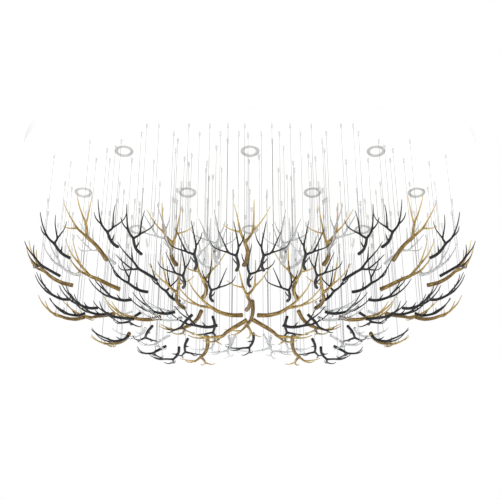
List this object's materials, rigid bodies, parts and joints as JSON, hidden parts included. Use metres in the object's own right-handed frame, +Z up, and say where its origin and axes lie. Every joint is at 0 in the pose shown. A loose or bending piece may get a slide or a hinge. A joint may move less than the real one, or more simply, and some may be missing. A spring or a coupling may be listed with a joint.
{
  "type": "antler chandelier",
  "caption": "Wide ceiling chandelier: antler-shaped branches in black, gold and clear glass hang as a shallow dish on straight wires below a flat canopy with downlights.",
  "frame": {"origin": "middle of the ceiling face, at the centre of the ceiling bolt pattern", "axes": "+Z up toward the ceiling, +X along the long side to the right, -Y toward the viewer"},
  "size_m": [2.2828, 1.4259, 0.8361],
  "materials": {
    "black_lacquer": "satin",
    "gold_lacquer": "satin",
    "clear_glass": "polished",
    "wire_steel": "satin",
    "anchor_steel": "satin",
    "zinc_steel": "satin",
    "white_canopy": "matte",
    "white_screw": "satin",
    "frame_steel": "satin",
    "trim_metal": "satin",
    "lens_glass": "satin",
    "reflector_metal": "polished",
    "led_board": "matte",
    "sink_metal": "satin",
    "spring_steel": "satin",
    "lead_jacket": "matte",
    "driver_case": "matte",
    "terminal_plastic": "matte",
    "clamp_plastic": "matte",
    "earth_brass": "satin"
  },
  "bodies": {
    "canopy": {"anchor_barrels": "anchor_steel", "anchor_nuts": "zinc_steel", "anchor_studs": "zinc_steel", "canopy_pan": "white_canopy", "canopy_screws": "white_screw", "downlight_clips": "spring_steel", "downlight_heat_sinks": "sink_metal", "downlight_lenses": "lens_glass", "downlight_reflectors": "reflector_metal", "downlight_trims": "trim_metal", "driver_screws": "zinc_steel", "earth_stud": "earth_brass", "lamp_leads": "lead_jacket", "led_drivers": "driver_case", "led_modules": "led_board", "mains_clamp": "clamp_plastic", "mounting_frame": "frame_steel", "terminal_block": "terminal_plastic"},
    "row_1": {"row_1_black_antlers": "black_lacquer", "row_1_clear_antlers": "clear_glass", "row_1_gold_antlers": "gold_lacquer", "row_1_wires": "wire_steel"},
    "row_2": {"row_2_black_antlers": "black_lacquer", "row_2_clear_antlers": "clear_glass", "row_2_gold_antlers": "gold_lacquer", "row_2_wires": "wire_steel"},
    "row_3": {"row_3_black_antlers": "black_lacquer", "row_3_clear_antlers": "clear_glass", "row_3_wires": "wire_steel"},
    "row_4": {"row_4_black_antlers": "black_lacquer", "row_4_gold_antlers": "gold_lacquer", "row_4_wires": "wire_steel"},
    "row_5": {"row_5_black_antlers": "black_lacquer", "row_5_clear_antlers": "clear_glass", "row_5_gold_antlers": "gold_lacquer", "row_5_wires": "wire_steel"},
    "row_6": {"row_6_black_antlers": "black_lacquer", "row_6_clear_antlers": "clear_glass", "row_6_gold_antlers": "gold_lacquer", "row_6_wires": "wire_steel"},
    "row_7": {"row_7_black_antlers": "black_lacquer", "row_7_clear_antlers": "clear_glass", "row_7_gold_antlers": "gold_lacquer", "row_7_wires": "wire_steel"},
    "row_8": {"row_8_black_antlers": "black_lacquer", "row_8_clear_antlers": "clear_glass", "row_8_gold_antlers": "gold_lacquer", "row_8_wires": "wire_steel"},
    "row_9": {"row_9_black_antlers": "black_lacquer", "row_9_clear_antlers": "clear_glass", "row_9_gold_antlers": "gold_lacquer", "row_9_wires": "wire_steel"},
    "row_10": {"row_10_black_antlers": "black_lacquer", "row_10_clear_antlers": "clear_glass", "row_10_gold_antlers": "gold_lacquer", "row_10_wires": "wire_steel"}
  },
  "joints": [
    {"name": "row_1_sway", "type": "hinge", "parent": "canopy", "child": "row_1", "pos_m": [0, -0.5265, -0.079], "axis": [1, 0, 0], "range_deg": [-0.8, 0.8]},
    {"name": "row_2_sway", "type": "hinge", "parent": "canopy", "child": "row_2", "pos_m": [0, -0.4095, -0.079], "axis": [1, 0, 0], "range_deg": [-0.8, 0.8]},
    {"name": "row_3_sway", "type": "hinge", "parent": "canopy", "child": "row_3", "pos_m": [0, -0.2925, -0.079], "axis": [1, 0, 0], "range_deg": [-0.8, 0.8]},
    {"name": "row_4_sway", "type": "hinge", "parent": "canopy", "child": "row_4", "pos_m": [0, -0.1755, -0.079], "axis": [1, 0, 0], "range_deg": [-0.8, 0.8]},
    {"name": "row_5_sway", "type": "hinge", "parent": "canopy", "child": "row_5", "pos_m": [0, -0.0585, -0.079], "axis": [1, 0, 0], "range_deg": [-0.8, 0.8]},
    {"name": "row_6_sway", "type": "hinge", "parent": "canopy", "child": "row_6", "pos_m": [0, 0.0585, -0.079], "axis": [1, 0, 0], "range_deg": [-0.8, 0.8]},
    {"name": "row_7_sway", "type": "hinge", "parent": "canopy", "child": "row_7", "pos_m": [0, 0.1755, -0.079], "axis": [1, 0, 0], "range_deg": [-0.8, 0.8]},
    {"name": "row_8_sway", "type": "hinge", "parent": "canopy", "child": "row_8", "pos_m": [0, 0.2925, -0.079], "axis": [1, 0, 0], "range_deg": [-0.8, 0.8]},
    {"name": "row_9_sway", "type": "hinge", "parent": "canopy", "child": "row_9", "pos_m": [0, 0.4095, -0.079], "axis": [1, 0, 0], "range_deg": [-0.8, 0.8]},
    {"name": "row_10_sway", "type": "hinge", "parent": "canopy", "child": "row_10", "pos_m": [0, 0.5265, -0.079], "axis": [1, 0, 0], "range_deg": [-0.8, 0.8]}
  ]
}
